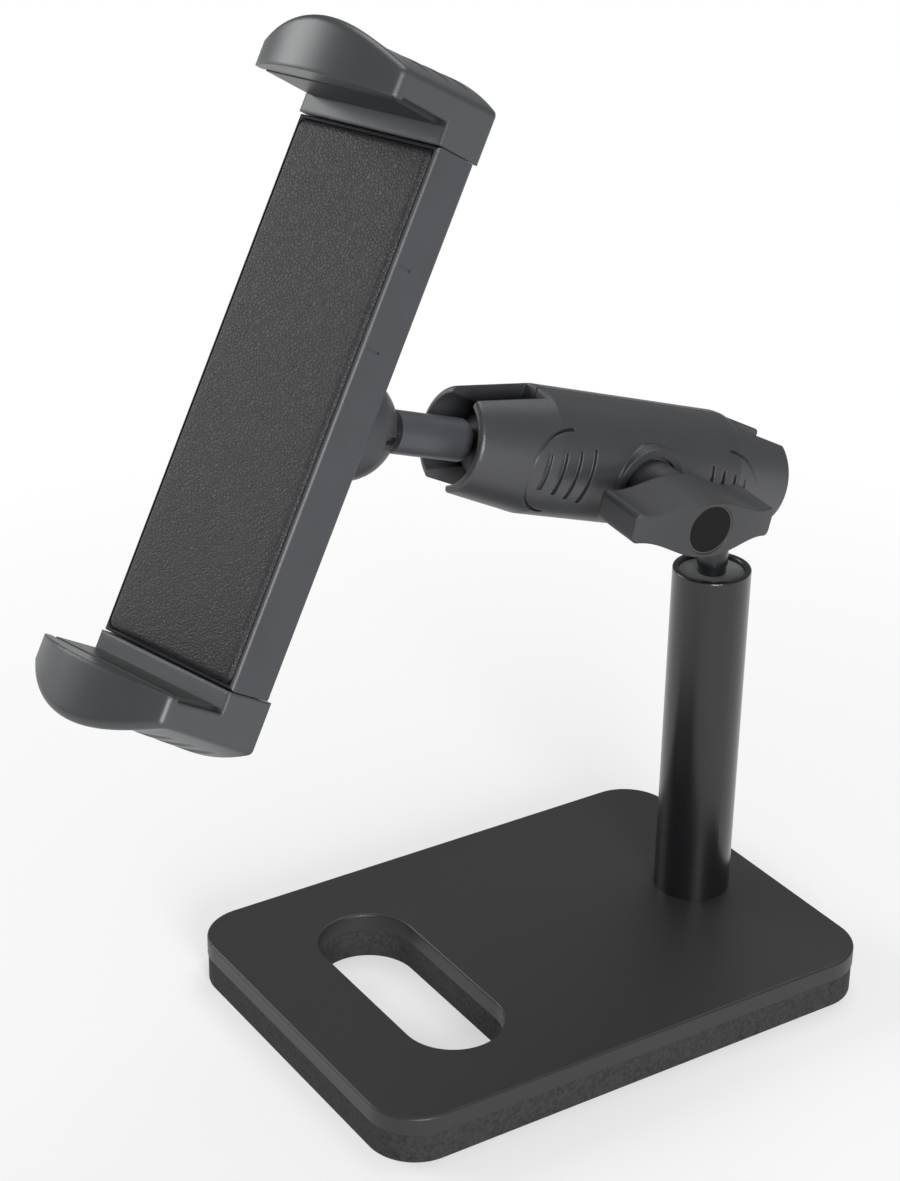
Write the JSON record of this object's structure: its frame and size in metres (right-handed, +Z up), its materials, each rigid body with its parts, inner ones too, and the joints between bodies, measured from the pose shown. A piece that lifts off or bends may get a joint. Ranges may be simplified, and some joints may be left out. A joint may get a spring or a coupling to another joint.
{
  "type": "tablet desk stand",
  "caption": "Desk stand for a tablet: heavy slotted base, round post, ball arm clamped by a wing knob, and a tilting clamp with spring jaws.",
  "frame": {"origin": "centre of the base's underside, where the foam pad rests on the desk", "axes": "+Z up, -Y toward the slotted front of the base, +Y toward the post, +X to the right seen from the front"},
  "size_m": [0.1274, 0.2579, 0.3207],
  "materials": {
    "foam": "matt closed-cell foam rubber",
    "powder_coat": "satin black powder coat on steel",
    "black_anodised": "satin black coating on tube",
    "zinc_steel": "plain zinc plated steel",
    "black_steel": "gloss black plated steel",
    "plug_plastic": "dull grey moulded plastic",
    "ball_rubber": "smooth rubber skin",
    "arm_plastic": "fine grained moulded nylon",
    "knob_plastic": "fine grained moulded nylon",
    "knob_cap_plastic": "smooth dark plastic",
    "brass": "turned",
    "stem_plastic": "slightly blotchy moulded plastic",
    "holder_plastic": "satin moulded plastic",
    "jaw_plastic": "satin moulded plastic",
    "liner_rubber": "smooth rubber",
    "leatherette": "pebbled black leatherette over thin foam"
  },
  "bodies": {
    "base": {"base_pad": "foam", "base_plate": "powder_coat", "post_screw": "zinc_steel", "post_foot_plug": "zinc_steel", "post_tube": "black_anodised", "post_top_plug": "plug_plastic"},
    "lower_ball": {"lower_stud": "black_steel", "lower_ball": "ball_rubber"},
    "arm": {"arm_front_shell": "arm_plastic", "arm_spring": "zinc_steel", "thrust_washer": "zinc_steel"},
    "arm_rear": {"arm_rear_shell": "arm_plastic", "clamp_bolt": "black_steel"},
    "knob": {"wing_knob": "knob_plastic", "knob_insert": "brass", "knob_cap": "knob_cap_plastic"},
    "upper_ball": {"upper_ball": "ball_rubber"},
    "stem": {"stem_stud": "black_steel", "stem_sleeve": "stem_plastic", "stem_ball": "stem_plastic"},
    "ball_seat": {"ball_seat": "stem_plastic"},
    "holder": {"holder_back_shell": "holder_plastic", "holder_front_shell": "holder_plastic", "case_screws": "zinc_steel", "seat_retainer": "zinc_steel", "holder_pad": "leatherette"},
    "top_jaw": {"top_jaw": "jaw_plastic", "top_jaw_liner": "liner_rubber", "top_slide": "zinc_steel", "top_jaw_screws": "zinc_steel", "top_spring": "zinc_steel"},
    "bottom_jaw": {"bottom_jaw": "jaw_plastic", "bottom_jaw_liner": "liner_rubber", "bottom_slide": "zinc_steel", "bottom_jaw_screws": "zinc_steel", "bottom_spring": "zinc_steel"}
  },
  "joints": [
    {"name": "arm_swivel", "type": "hinge", "parent": "base", "child": "lower_ball", "pos_m": [0, 0.065, 0.132], "axis": [0, 0, 1], "continuous": true},
    {"name": "arm_pitch", "type": "hinge", "parent": "lower_ball", "child": "arm", "pos_m": [0, 0.065, 0.164], "axis": [-0.9973, 0.0226, 0.0697], "range_deg": [-20, 100]},
    {"name": "rear_shell_slide", "type": "slide", "parent": "arm", "child": "arm_rear", "axis": [-0.9973, 0.0226, 0.0697], "range_m": [0, 0.00124], "deforming": ["arm_spring"]},
    {"name": "knob_turn", "type": "hinge", "parent": "arm", "child": "knob", "pos_m": [0, 0.02363, 0.17744], "axis": [0.9973, -0.0226, -0.0697], "range_deg": [0, 360]},
    {"name": "stem_pitch", "type": "hinge", "parent": "arm", "child": "upper_ball", "pos_m": [0, -0.01774, 0.19088], "axis": [-0.9973, 0.0226, 0.0697], "range_deg": [-25, 25]},
    {"name": "stem_spin", "type": "hinge", "parent": "upper_ball", "child": "stem", "pos_m": [0, -0.01774, 0.19088], "axis": [0, -0.9511, 0.309], "continuous": true},
    {"name": "holder_tilt", "type": "hinge", "parent": "stem", "child": "ball_seat", "pos_m": [0, -0.071, 0.20819], "axis": [-0.8683, 0.1533, 0.4718], "range_deg": [-35, 4.5]},
    {"name": "holder_spin", "type": "hinge", "parent": "ball_seat", "child": "holder", "pos_m": [0, -0.071, 0.20819], "axis": [0.1278, -0.8499, 0.5113], "continuous": true},
    {"name": "top_jaw_slide", "type": "slide", "parent": "holder", "child": "top_jaw", "axis": [-0.1345, 0.4959, 0.8579], "range_m": [0, 0.027], "stiffness_N_per_m": 300, "springref_m": -0.02, "deforming": ["top_spring"]},
    {"name": "bottom_jaw_slide", "type": "slide", "parent": "holder", "child": "bottom_jaw", "axis": [0.1345, -0.4959, -0.8579], "range_m": [0, 0.027], "stiffness_N_per_m": 300, "springref_m": -0.02, "deforming": ["bottom_spring"]}
  ],
  "couplings": [
    {"joint": "knob_turn", "follows": "rear_shell_slide", "rad_per_m": 5026.5}
  ]
}
